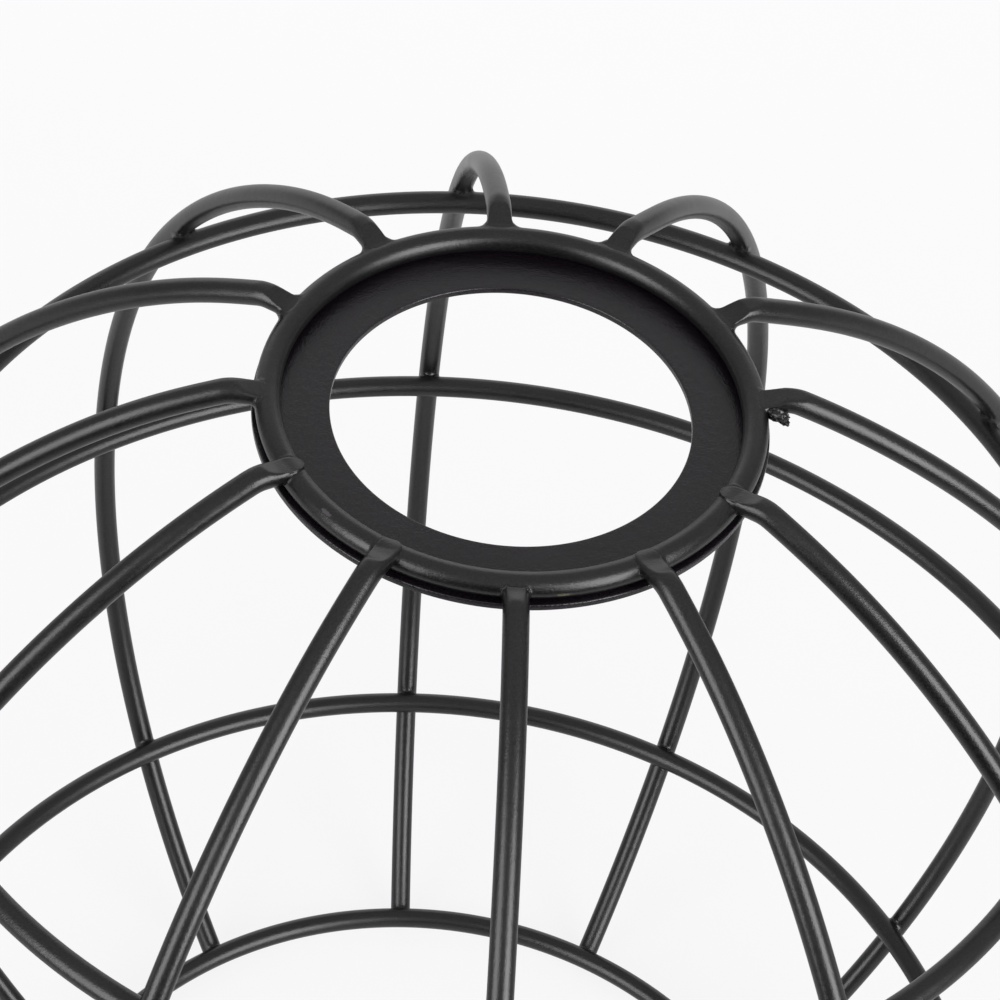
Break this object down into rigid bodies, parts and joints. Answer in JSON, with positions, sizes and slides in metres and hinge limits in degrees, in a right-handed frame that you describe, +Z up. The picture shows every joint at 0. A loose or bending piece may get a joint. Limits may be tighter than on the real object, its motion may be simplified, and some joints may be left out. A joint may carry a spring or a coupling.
{
  "type": "cage lampshade",
  "caption": "Round wire cage lampshade with a punched plate that clamps under a lampholder collar.",
  "frame": {"origin": "centre of the lampholder hole on the top face of the hub plate", "axes": "+Z up along the hole's axis, away from the cage; -Y towards the first rib"},
  "size_m": [0.1936, 0.1936, 0.1765],
  "materials": {
    "black_coat": "fine matt black powder coat"
  },
  "bodies": {
    "root": {"hub_plate": "black_coat", "hub_ring": "black_coat", "hoop_shoulder": "black_coat", "hoop_belly": "black_coat", "hoop_lower": "black_coat", "hoop_bottom": "black_coat", "rib_01": "black_coat", "rib_02": "black_coat", "rib_03": "black_coat", "rib_04": "black_coat", "rib_05": "black_coat", "rib_06": "black_coat", "rib_07": "black_coat", "rib_08": "black_coat", "rib_09": "black_coat", "rib_10": "black_coat", "rib_11": "black_coat", "rib_12": "black_coat"}
  },
  "joints": []
}
